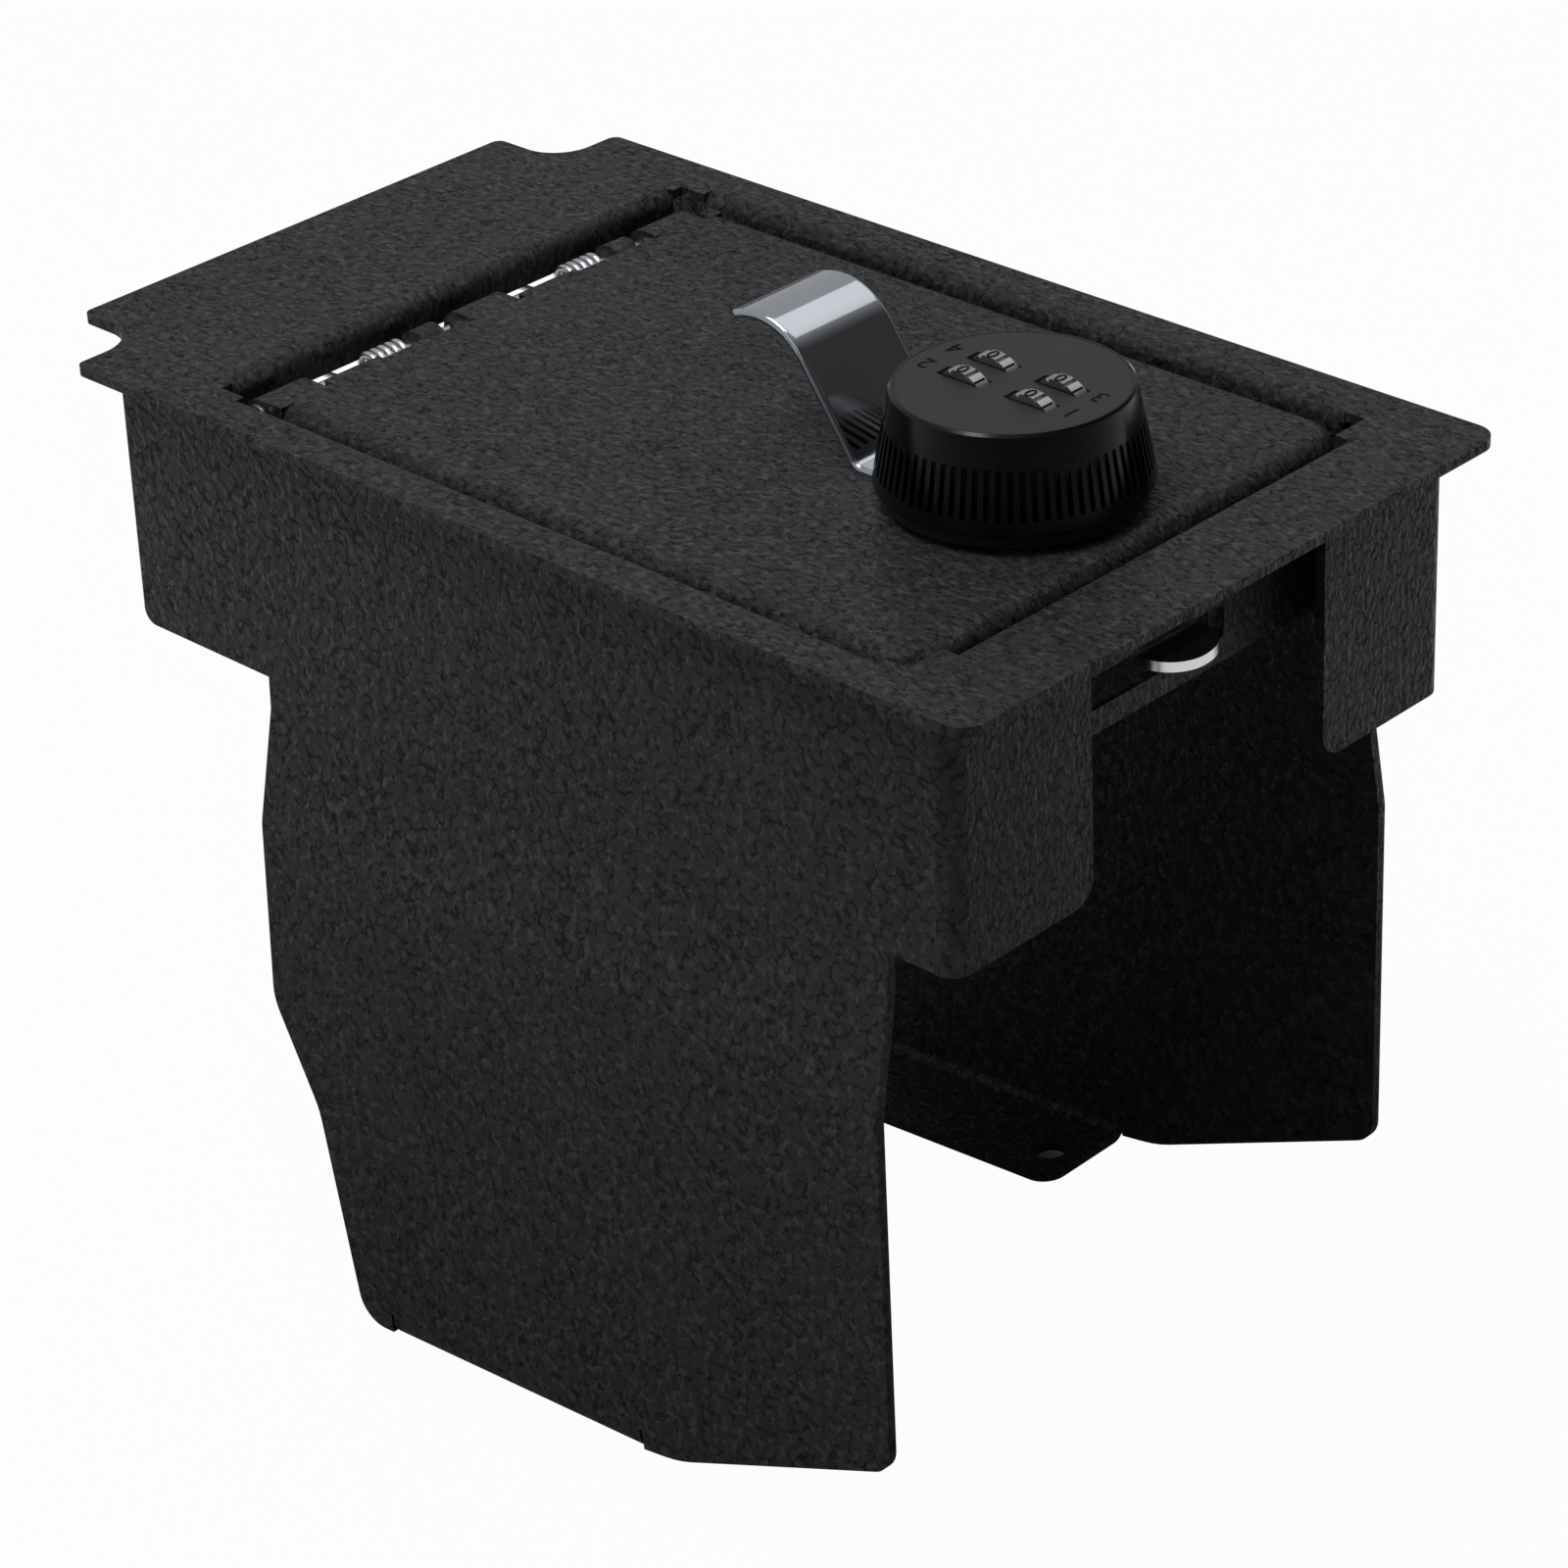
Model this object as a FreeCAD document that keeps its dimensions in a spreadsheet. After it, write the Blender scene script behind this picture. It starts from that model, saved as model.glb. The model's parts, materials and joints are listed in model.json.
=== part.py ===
import FreeCAD, Part
import Sketcher
import math
import os

Vector = FreeCAD.Vector

# Lengths in mm and angles in degrees. Heights are taken from the top face of the flange,
# fore-and-aft places from the middle of the flange, with the lift strip and lock at the front.
SIZES = [
    # Flange and its bent-down jamb lips.
    ("frame_width", 145.0),
    ("frame_length", 246.4),
    ("opening_width", 123.4),
    ("front_strip", 21.1),
    ("rear_strip", 48.2),
    ("sheet", 2.0),
    ("frame_round", 5.0),
    ("bite_width", 16.5),
    ("bite_length", 17.9),
    ("bite_round", 9.0),
    ("bite_tip", 2.0),
    ("jamb_bend", 3.0),
    ("weld_lap", 1.5),
    ("front_lip_depth", 30.0),
    ("front_lip_width", 106.0),
    ("side_lip_depth", 12.0),
    ("side_lip_inset", 6.5),
    ("rear_lip_depth", 6.5),
    ("rear_lip_inset", 2.6),
    ("corner_tab", 1.6),
    ("slot_left", 30.0),
    ("slot_right", 17.0),
    ("slot_top", 18.5),
    ("slot_bottom", 25.2),
    ("slot_round", 1.5),
    # Side panels: skirt wall, front lug, flared wing and sloping foot.
    ("wall_margin", 6.1),
    ("wall_ahead", 12.9),
    ("wall_lean", 1.3),
    ("wall_behind", 23.7),
    ("wall_depth", 55.0),
    ("wall_round", 3.0),
    ("wall_bend", 4.0),
    ("lug_gap", 63.8),
    ("lug_depth", 53.4),
    ("lug_round", 5.0),
    ("flare_out", 4.2),
    ("flare_top", 62.0),
    ("flare_bottom", 86.0),
    ("flare_bend", 8.0),
    ("wing_setback", 16.0),
    ("wing_rear_top", 62.2),
    ("wing_knee", 65.9),
    ("wing_knee_rise", 66.7),
    ("wing_knee_round", 12.0),
    ("wing_waist", 55.3),
    ("wing_waist_rise", 44.7),
    ("wing_waist_round", 20.0),
    ("heel_reach", 47.5),
    ("heel_round", 6.5),
    ("toe_reach", 43.0),
    ("toe_rise", 5.8),
    ("toe_round", 30.0),
    ("nose_rise", 31.2),
    ("nose_round", 6.0),
    ("foot_drop", 193.7),
    ("foot_slope", 4.96),
    ("foot_front", 33.0),
    ("foot_rear", 38.0),
    ("foot_width", 25.0),
    ("foot_bend", 4.0),
    ("foot_round", 5.0),
    ("foot_relief", 0.8),
    ("foot_lift", 1.2),
    ("bolt_radius", 3.3),
    ("bolt_inset", 16.0),
    ("bolt_front", 26.0),
    ("bolt_rear", 31.0),
    # Lid tray with rolled edges and three rolled knuckles.
    ("lid_gap", 2.1),
    ("lid_front_gap", 3.1),
    ("lid_drop", 1.0),
    ("lid_return", 9.0),
    ("lid_round", 4.0),
    ("lid_corner", 8.0),
    ("tray_gap", 5.6),
    ("lid_rear_gap", 3.0),
    ("strip_lap", 0.6),
    ("hinge_setback", 8.0),
    ("knuckle_width", 12.2),
    ("knuckle_edge", 0.2),
    ("knuckle_shift", 2.5),
    ("slit_width", 1.6),
    ("slit_gap", 5.2),
    ("notch_gap", 4.4),
    ("notch_before", 14.6),
    ("notch_after", 4.0),
    # Hinge pin, brackets, rings and springs.
    ("pin_radius", 2.0),
    ("pin_clearance", 0.06),
    ("pin_hold", 0.02),
    ("pin_overhang", 0.5),
    ("ring_thickness", 0.7),
    ("ring_radius", 3.2),
    ("ring_gap", 0.3),
    ("ear_left", 17.2),
    ("ear_right", 35.2),
    ("ear_width", 5.6),
    ("eye_radius", 4.0),
    ("ear_clear", 11.0),
    ("ear_reach", 22.0),
    ("ear_bend", 3.0),
    ("coil_clearance", 1.0),
    ("coil_radius", 3.2),
    ("coil_wire", 1.3),
    ("coil_pitch", 1.85),
    ("coil_leg_rear", 16.0),
    ("coil_leg_front", 24.0),
    ("coil_leg_gap", 0.1),
    # Chrome lift strip.
    ("strip_width", 23.6),
    ("strip_thickness", 1.5),
    ("strip_lead", 14.0),
    ("strip_foot", 28.7),
    ("strip_slope", 56.0),
    ("strip_foot_bend", 2.0),
    ("crest_height", 25.2),
    ("crest_bend", 12.5),
    ("strip_reach", 57.4),
    ("crest_slope", 20.0),
    ("strip_end_round", 1.0),
    # Lock under the lid.
    ("lock_setback", 32.2),
    ("lock_flange_radius", 24.4),
    ("lock_flange", 2.1),
    ("barrel_radius", 9.5),
    ("barrel_length", 20.6),
    ("barrel_clearance", 0.2),
    ("washer_radius", 15.0),
    ("washer_thickness", 1.5),
    ("nut_flats", 24.0),
    ("nut_height", 5.5),
    ("nut_fit", 0.05),
    ("spindle_radius", 5.0),
    ("spindle_clearance", 0.05),
    ("spindle_square", 7.0),
    ("spindle_seat", 2.6),
    ("square_clearance", 0.05),
    ("cam_gap", 0.6),
    ("cam_thickness", 2.0),
    ("cam_half_width", 8.5),
    ("cam_tip_round", 8.0),
    ("cam_reach", 41.5),
    ("cam_heel", 10.0),
    ("cam_angle", 6.0),
    ("cam_washer_radius", 7.0),
    ("cam_washer_thickness", 1.0),
    ("screw_radius", 2.0),
    ("screw_head_radius", 4.2),
    ("screw_head_height", 3.0),
    ("screw_head_round", 1.0),
    ("screw_length", 7.0),
    # Combination knob and its dials.
    ("knob_gap", 0.3),
    ("knob_height", 18.2),
    ("knob_base_radius", 25.4),
    ("knob_base_land", 0.5),
    ("knob_top_radius", 22.1),
    ("knob_rim", 0.5),
    ("knob_rim_land", 0.5),
    ("knob_bore", 19.7),
    ("rib_low", 2.7),
    ("rib_height", 9.6),
    ("rib_floor", 23.2),
    ("rib_slot", 1.05),
    ("rib_count", 72),
    ("face_thickness", 0.8),
    ("face_fit", 0.05),
    ("window_width", 3.6),
    ("window_length", 10.5),
    ("window_round", 0.4),
    ("dial_pitch_x", 8.0),
    ("dial_pitch_y", 15.9),
    ("dial_radius", 6.5),
    ("dial_width", 3.0),
    ("dial_depth", 4.9),
    ("dial_clearance", 0.05),
    ("dial_notch", 0.9),
    ("dial_notch_depth", 0.6),
    ("dial_marks", 10),
    ("carrier_gap", 0.1),
    ("carrier_lift", 1.0),
    ("well_width", 3.6),
    ("well_length", 30.3),
    ("well_margin", 0.4),
    ("axle_radius", 1.5),
    ("axle_fit", 0.02),
    ("axle_inner", 9.0),
    ("axle_outer", 16.5),
    ("leaf_thickness", 1.2),
    ("leaf_width", 3.0),
    ("leaf_height", 9.0),
]

COIL_TURNS = 5
ARCS_PER_TURN = 4
LEAST_COIL_GAP = 0.4

doc = FreeCAD.newDocument("console_safe")
dim = doc.addObject("Spreadsheet::Sheet", "dim")
for row, (alias, number) in enumerate(SIZES, 1):
    dim.set(f"A{row}", alias)
    dim.set(f"B{row}", str(number))
    dim.setAlias(f"B{row}", alias)
doc.recompute()

# Heights and places that several pieces share.
OVERRUN = "(5*dim.sheet)"
STAND = "(dim.foot_drop+dim.foot_rear*sin(dim.foot_slope))"
HALF_OPEN = "(dim.opening_width/2)"
FRAME_HALF = "(dim.frame_width/2)"
FRAME_END = "(dim.frame_length/2)"
OPEN_FRONT = f"({FRAME_END}-dim.front_strip)"
OPEN_REAR = f"({FRAME_END}-dim.rear_strip)"
WALL_FACE = f"({HALF_OPEN}+dim.wall_margin)"
WALL_FRONT = f"({OPEN_FRONT}+dim.wall_ahead)"
WALL_REAR = f"({OPEN_REAR}+dim.wall_behind)"
WING_FACE = f"({WALL_FACE}+dim.flare_out)"
WING_FRONT = f"({WALL_FRONT}-dim.wing_setback)"
HINGE_Y = f"({OPEN_REAR}-dim.hinge_setback)"
TRAY_REAR = f"({HINGE_Y}-dim.tray_gap)"
LID_REAR = f"({HINGE_Y}-dim.lid_rear_gap)"
LOCK_Y = f"(dim.lock_setback-{OPEN_FRONT})"
LID_HALF = f"({HALF_OPEN}-dim.lid_gap)"
LID_FRONT = f"({OPEN_FRONT}-dim.lid_front_gap)"
LID_TOP = "(-dim.lid_drop)"
LID_UNDER = f"({LID_TOP}-dim.sheet)"
KNUCKLE_RADIUS = "(dim.pin_radius+dim.pin_clearance+dim.sheet)"
HINGE_Z = f"({LID_TOP}-{KNUCKLE_RADIUS})"
LOCK_SEAT = f"({LID_TOP}+dim.strip_thickness)"
KNOB_FOOT = f"({LOCK_SEAT}+dim.lock_flange+dim.knob_gap)"
KNOB_TOP = f"({KNOB_FOOT}+dim.knob_height)"
FACE_SEAT = f"({KNOB_TOP}-dim.face_thickness-dim.face_fit)"
DIAL_AXIS = f"({KNOB_TOP}-dim.dial_depth)"
WELL_FLOOR = f"({DIAL_AXIS}-dim.dial_radius-dim.well_margin)"
CARRIER_FOOT = f"({KNOB_FOOT}+dim.carrier_lift)"
BARREL_END = f"({LOCK_SEAT}-dim.barrel_length)"
CAM_TOP = f"({BARREL_END}-dim.cam_gap)"
CAM_UNDER = f"({CAM_TOP}-dim.cam_thickness)"
RIM_LAND = "(dim.knob_top_radius-dim.knob_rim)"
FACE_RADIUS = f"({RIM_LAND}-dim.knob_rim_land)"
DIAL_COLUMNS = ("-dim.dial_pitch_x/2", "dim.dial_pitch_x/2")
DIAL_ROWS = ("-dim.dial_pitch_y/2", "dim.dial_pitch_y/2")

nodes = []


def value(expression):
    result = dim.evalExpression(expression)
    return float(getattr(result, "Value", result))


def placed(item, label, y="0", turn=None):
    item.Label = label
    if turn:
        item.Placement = FreeCAD.Placement(Vector(), FreeCAD.Rotation(Vector(0, 0, 1), value(turn)))
        item.setExpression("Placement.Rotation.Angle", turn)
    item.setExpression("Placement.Base.y", y)
    item.setExpression("Placement.Base.z", STAND)
    nodes.append(item)
    return item


def new_body(label, y="0", turn=None):
    return placed(doc.addObject("PartDesign::Body", label), label, y, turn)


def new_sketch(body, role, offset="0", drop=None, tilt=None):
    sketch = body.newObject("Sketcher::SketchObject", f"{body.Name}_outline")
    plane = next(item for item in body.Origin.OriginFeatures if item.Role == role)
    sketch.AttachmentSupport = [(plane, "")]
    sketch.MapMode = "FlatFace"
    if tilt:
        tipped = FreeCAD.Rotation(Vector(-1, 0, 0), value(tilt))
        sketch.AttachmentOffset = FreeCAD.Placement(Vector(), tipped)
        sketch.setExpression("AttachmentOffset.Rotation.Angle", tilt)
    sketch.setExpression("AttachmentOffset.Base.z", offset)
    if drop:
        sketch.setExpression("AttachmentOffset.Base.y", drop)
    return sketch


def fix_point(sketch, geometry, position, x, y):
    for kind, axis, expression in (("DistanceX", -2, x), ("DistanceY", -1, y)):
        size = value(expression)
        if abs(size) < 1e-9:
            sketch.addConstraint(Sketcher.Constraint("PointOnObject", geometry, position, axis))
        else:
            index = sketch.addConstraint(Sketcher.Constraint(kind, -1, 1, geometry, position, size))
            sketch.setExpression(f"Constraints[{index}]", expression)


def add_loop(sketch, corners):
    # A closed outline through the corners given, each sharp or rounded by its own radius.
    corners = [(*corner, None)[:3] for corner in corners]
    points = [Vector(value(x), value(y), 0) for x, y, radius in corners]
    count = len(corners)
    starts = []
    ends = []
    arcs = []
    for i, (x, y, radius) in enumerate(corners):
        point = points[i]
        if radius is None:
            starts.append(point)
            ends.append(point)
            arcs.append(None)
            continue
        back = (points[i - 1] - point).normalize()
        ahead = (points[(i + 1) % count] - point).normalize()
        half = back.getAngle(ahead) / 2
        size = value(radius)
        run = size / math.tan(half)
        centre = point + (back + ahead).normalize() * (size / math.sin(half))
        ends.append(point + back * run)
        starts.append(point + ahead * run)
        leftward = back.cross(ahead).z < 0
        first, last = (ends[i], starts[i]) if leftward else (starts[i], ends[i])
        begin = math.atan2(first.y - centre.y, first.x - centre.x)
        sweep = (math.atan2(last.y - centre.y, last.x - centre.x) - begin) % (2 * math.pi)
        ring = Part.Circle(centre, Vector(0, 0, 1), size)
        arcs.append((Part.ArcOfCircle(ring, begin, begin + sweep), leftward))
    lines = []
    for i in range(count):
        lines.append(sketch.addGeometry(Part.LineSegment(starts[i], ends[(i + 1) % count]), False))
    for i, (x, y, radius) in enumerate(corners):
        before = lines[i - 1]
        after = lines[i]
        if radius is None:
            sketch.addConstraint(Sketcher.Constraint("Coincident", before, 2, after, 1))
            fix_point(sketch, after, 1, x, y)
            continue
        shape, leftward = arcs[i]
        arc = sketch.addGeometry(shape, False)
        near, far = (1, 2) if leftward else (2, 1)
        tip = sketch.addGeometry(Part.Point(points[i]), True)
        sketch.addConstraint([
            Sketcher.Constraint("Tangent", before, 2, arc, near),
            Sketcher.Constraint("Tangent", after, 1, arc, far),
            Sketcher.Constraint("PointOnObject", tip, 1, before),
            Sketcher.Constraint("PointOnObject", tip, 1, after),
        ])
        index = sketch.addConstraint(Sketcher.Constraint("Radius", arc, value(radius)))
        sketch.setExpression(f"Constraints[{index}]", radius)
        fix_point(sketch, tip, 1, x, y)


def add_box(sketch, left, right, low, high, radius=None):
    corners = [(left, low), (right, low), (right, high), (left, high)]
    add_loop(sketch, [(x, y, radius) for x, y in corners])


def add_circle(sketch, x, y, radius):
    centre = Vector(value(x), value(y), 0)
    ring = sketch.addGeometry(Part.Circle(centre, Vector(0, 0, 1), value(radius)), False)
    fix_point(sketch, ring, 3, x, y)
    index = sketch.addConstraint(Sketcher.Constraint("Radius", ring, value(radius)))
    sketch.setExpression(f"Constraints[{index}]", radius)


def finish(body, feature):
    body.Tip = feature
    doc.recompute()
    return feature


def pad(body, sketch, length, behind=None, symmetric=False, flip=False):
    feature = body.newObject("PartDesign::Pad", f"{body.Name}_pad")
    feature.Profile = sketch
    feature.setExpression("Length", length)
    feature.Reversed = flip
    if behind:
        feature.SideType = "Two sides"
        feature.setExpression("Length2", behind)
    if symmetric:
        feature.SideType = "Symmetric"
    return finish(body, feature)


def pocket(body, sketch, length=None, flip=False):
    before = body.Shape.Volume
    feature = body.newObject("PartDesign::Pocket", f"{body.Name}_cut")
    feature.Profile = sketch
    feature.Reversed = flip
    if length:
        feature.setExpression("Length", length)
    else:
        feature.Type = "ThroughAll"
        feature.SideType = "One side" if flip else "Symmetric"
    finish(body, feature)
    if body.Shape.Volume > before - 1e-3:
        raise RuntimeError(f"{body.Label}: a cut removes nothing")
    return feature


def revolve(body, sketch):
    feature = body.newObject("PartDesign::Revolution", f"{body.Name}_turned")
    feature.Profile = sketch
    feature.ReferenceAxis = (sketch, ["V_Axis"])
    feature.Angle = 360
    return finish(body, feature)


def around(body, cut, axis_role, count):
    feature = body.newObject("PartDesign::PolarPattern", f"{body.Name}_ring")
    feature.Originals = [cut]
    axis = next(item for item in body.Origin.OriginFeatures if item.Role == axis_role)
    feature.Axis = (axis, [""])
    feature.Angle = 360
    feature.setExpression("Occurrences", count)
    before = body.Shape.Volume
    finish(body, feature)
    if body.Shape.Volume > before - 1e-3:
        raise RuntimeError(f"{body.Label}: a pattern removes nothing")
    return feature


def edges_where(feature, wanted):
    found = []
    for number, edge in enumerate(feature.Shape.Edges, 1):
        if wanted([vertex.Point for vertex in edge.Vertexes]):
            found.append(f"Edge{number}")
    return found


def fillet(body, base, edges, radius):
    feature = body.newObject("PartDesign::Fillet", f"{body.Name}_round")
    feature.Base = (base, edges)
    feature.setExpression("Radius", radius)
    return finish(body, feature)


def offset_corner(y, z, angle_in, angle_out, distance):
    # The corner of a strip's other face, the strip turning from one angle to the next.
    middle = f"((({angle_in})+({angle_out}))/2)"
    spread = f"cos((({angle_out})-({angle_in}))/2)"
    return (
        f"(({y})-({distance})*sin({middle})/{spread})",
        f"(({z})+({distance})*cos({middle})/{spread})",
    )


def foot_point(along, above):
    return (
        f"(({along})*cos(dim.foot_slope)+({above})*sin(dim.foot_slope))",
        f"(-dim.foot_drop-({along})*sin(dim.foot_slope)+({above})*cos(dim.foot_slope))",
    )


def lip_outline(edge, depth, away):
    # Section of a jamb lip: flange sheet bent down at the opening's edge.
    back = f"({edge}+{away}*(dim.jamb_bend+dim.weld_lap))"
    rear = f"({edge}+{away}*dim.sheet)"
    return [
        (back, "0"),
        (edge, "0", "dim.jamb_bend"),
        (edge, f"-{depth}"),
        (rear, f"-{depth}"),
        (rear, "-dim.sheet", "dim.jamb_bend-dim.sheet"),
        (back, "-dim.sheet"),
    ]


def make_top_frame():
    body = new_body("top_frame")
    sketch = new_sketch(body, "XY_Plane", "-dim.sheet")
    bite_x = f"({FRAME_HALF}-dim.bite_width)"
    bite_y = f"({FRAME_END}-dim.bite_length)"
    add_loop(sketch, [
        (f"-{FRAME_HALF}", f"-{FRAME_END}", "dim.frame_round"),
        (FRAME_HALF, f"-{FRAME_END}", "dim.frame_round"),
        (FRAME_HALF, bite_y, "dim.bite_tip"),
        (bite_x, bite_y, "dim.bite_round"),
        (bite_x, FRAME_END, "dim.bite_tip"),
        (f"-{bite_x}", FRAME_END, "dim.bite_tip"),
        (f"-{bite_x}", bite_y, "dim.bite_round"),
        (f"-{FRAME_HALF}", bite_y, "dim.bite_tip"),
    ])
    wide = f"({HALF_OPEN}+dim.jamb_bend)"
    front = f"(-{OPEN_FRONT}-dim.jamb_bend)"
    rear = f"({OPEN_REAR}+dim.jamb_bend)"
    lip_x = "(dim.front_lip_width/2)"
    rear_x = f"({HALF_OPEN}-dim.rear_lip_inset)"
    tab = f"(-{OPEN_FRONT}+dim.corner_tab)"
    side_front = f"(-{OPEN_FRONT}+dim.side_lip_inset)"
    side_rear = f"({OPEN_REAR}-dim.side_lip_inset)"
    right = [
        (lip_x, front),
        (lip_x, tab),
        (HALF_OPEN, tab),
        (HALF_OPEN, side_front),
        (wide, side_front),
        (wide, side_rear),
        (HALF_OPEN, side_rear),
        (HALF_OPEN, OPEN_REAR),
        (rear_x, OPEN_REAR),
        (rear_x, rear),
    ]
    left = [(f"-{x}", y) for x, y in reversed(right)]
    add_loop(sketch, right + left)
    pad(body, sketch, "dim.sheet")
    sketch = new_sketch(body, "YZ_Plane")
    add_loop(sketch, lip_outline(f"-{OPEN_FRONT}", "dim.front_lip_depth", "-1"))
    pad(body, sketch, "dim.front_lip_width", symmetric=True)
    sketch = new_sketch(body, "YZ_Plane")
    add_loop(sketch, lip_outline(OPEN_REAR, "dim.rear_lip_depth", "1"))
    pad(body, sketch, f"2*{rear_x}", symmetric=True)
    for side in ("-1", "1"):
        sketch = new_sketch(body, "XZ_Plane")
        add_loop(sketch, lip_outline(f"({side}*{HALF_OPEN})", "dim.side_lip_depth", side))
        pad(body, sketch, f"-{side_front}", behind=side_rear)
    sketch = new_sketch(body, "XZ_Plane")
    slot_ends = ("-dim.slot_left", "dim.slot_right")
    add_box(sketch, *slot_ends, "-dim.slot_bottom", "-dim.slot_top", "dim.slot_round")
    pocket(body, sketch)


def make_side_panel(label, side):
    body = new_body(label)
    reach = f"(dim.foot_drop+{OVERRUN})"
    flare = "(dim.flare_out/(dim.flare_bottom-dim.flare_top))"
    shift = f"(dim.sheet*tan(atan({flare})/2))"
    wall = f"({side}*{WALL_FACE})"
    wing = f"({side}*{WING_FACE})"
    wall_in = f"({side}*({WALL_FACE}-dim.sheet))"
    wing_in = f"({side}*({WING_FACE}-dim.sheet))"
    sketch = new_sketch(body, "XZ_Plane")
    add_loop(sketch, [
        (wall, "-dim.sheet"),
        (wall, "-dim.flare_top", "dim.flare_bend"),
        (wing, "-dim.flare_bottom", "dim.flare_bend+dim.sheet"),
        (wing, f"-{reach}"),
        (wing_in, f"-{reach}"),
        (wing_in, f"-(dim.flare_bottom+{shift})", "dim.flare_bend"),
        (wall_in, f"-(dim.flare_top+{shift})", "dim.flare_bend+dim.sheet"),
        (wall_in, "-dim.sheet"),
    ])
    pad(body, sketch, f"{WALL_FRONT}-dim.wall_bend", behind=f"{WALL_REAR}+{OVERRUN}")
    sketch = new_sketch(body, "YZ_Plane")
    rear_end = "(dim.foot_rear+dim.foot_relief)"
    front_end = "(-dim.foot_front-dim.foot_relief)"
    lap = "(dim.foot_bend+dim.weld_lap)"
    clear_rear = f"({WALL_REAR}+2*{OVERRUN})"
    clear_front = f"(-{WALL_FRONT}-{OVERRUN})"
    below = f"(-{reach}-{OVERRUN})"
    add_loop(sketch, [
        (clear_rear, OVERRUN),
        (f"({WALL_REAR}-dim.wall_lean)", OVERRUN),
        (WALL_REAR, "-dim.wall_depth", "dim.wall_round"),
        ("dim.wing_rear_top", "-dim.wall_depth"),
        ("dim.wing_knee", "dim.wing_knee_rise-dim.foot_drop", "dim.wing_knee_round"),
        ("dim.wing_waist", "dim.wing_waist_rise-dim.foot_drop", "dim.wing_waist_round"),
        (*foot_point("dim.heel_reach", "dim.foot_lift"), "dim.heel_round"),
        foot_point(rear_end, "dim.foot_lift"),
        foot_point(rear_end, lap),
        foot_point(front_end, lap),
        foot_point(front_end, "dim.foot_lift"),
        ("-dim.toe_reach", "dim.toe_rise-dim.foot_drop", "dim.toe_round"),
        (f"-{WING_FRONT}", "dim.nose_rise-dim.foot_drop", "dim.nose_round"),
        (f"-{WING_FRONT}", "-dim.lug_depth"),
        (clear_front, "-dim.lug_depth"),
        (clear_front, below),
        (clear_rear, below),
    ])
    pocket(body, sketch)
    # Front corner bend, then the lug folded across the front.
    bend_x = f"({side}*({WALL_FACE}-dim.wall_bend-dim.weld_lap))"
    bend_y = f"(-{WALL_FRONT}+dim.wall_bend+dim.weld_lap)"
    sketch = new_sketch(body, "XY_Plane", "-dim.sheet")
    add_loop(sketch, [
        (wall, bend_y),
        (wall, f"-{WALL_FRONT}", "dim.wall_bend"),
        (bend_x, f"-{WALL_FRONT}"),
        (bend_x, f"-{WALL_FRONT}+dim.sheet"),
        (wall_in, f"-{WALL_FRONT}+dim.sheet", "dim.wall_bend-dim.sheet"),
        (wall_in, bend_y),
    ])
    pad(body, sketch, "dim.lug_depth-dim.sheet", flip=True)
    sketch = new_sketch(body, "XZ_Plane", f"{WALL_FRONT}-dim.sheet")
    lug_in = f"({side}*dim.lug_gap/2)"
    lug_out = f"({side}*({WALL_FACE}-dim.wall_bend))"
    add_loop(sketch, [
        (lug_out, "-dim.sheet"),
        (lug_out, "-dim.lug_depth"),
        (lug_in, "-dim.lug_depth", "dim.lug_round"),
        (lug_in, "-dim.sheet"),
    ])
    pad(body, sketch, "dim.sheet")
    # Foot turned inwards along the wing's sloping lower edge.
    foot_in = f"({side}*({WING_FACE}-dim.foot_width))"
    rise = f"({lap}+dim.weld_lap)"
    sketch = new_sketch(body, "XZ_Plane", drop="-dim.foot_drop", tilt="dim.foot_slope")
    add_loop(sketch, [
        (wing, rise),
        (wing, "0", "dim.foot_bend"),
        (foot_in, "0"),
        (foot_in, "dim.sheet"),
        (wing_in, "dim.sheet", "dim.foot_bend-dim.sheet"),
        (wing_in, rise),
    ])
    foot = pad(body, sketch, "dim.foot_front", behind="dim.foot_rear")
    edge_x = value(foot_in)
    thick = value("dim.sheet")

    def foot_corner(points):
        upright = (points[0] - points[-1]).Length < thick + 1e-3
        return upright and all(abs(point.x - edge_x) < 1e-4 for point in points)

    fillet(body, foot, edges_where(foot, foot_corner), "dim.foot_round")
    sketch = new_sketch(body, "XY_Plane", "-dim.foot_drop", tilt="dim.foot_slope")
    for along in ("-dim.bolt_front", "dim.bolt_rear"):
        add_circle(sketch, f"{side}*({WING_FACE}-dim.bolt_inset)", along, "dim.bolt_radius")
    pocket(body, sketch, OVERRUN, flip=True)


def knuckle_centre(index):
    pitch = f"({LID_HALF}-dim.knuckle_edge-dim.knuckle_width/2-dim.knuckle_shift)"
    return f"(({index})*{pitch}-dim.knuckle_shift)"


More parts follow.
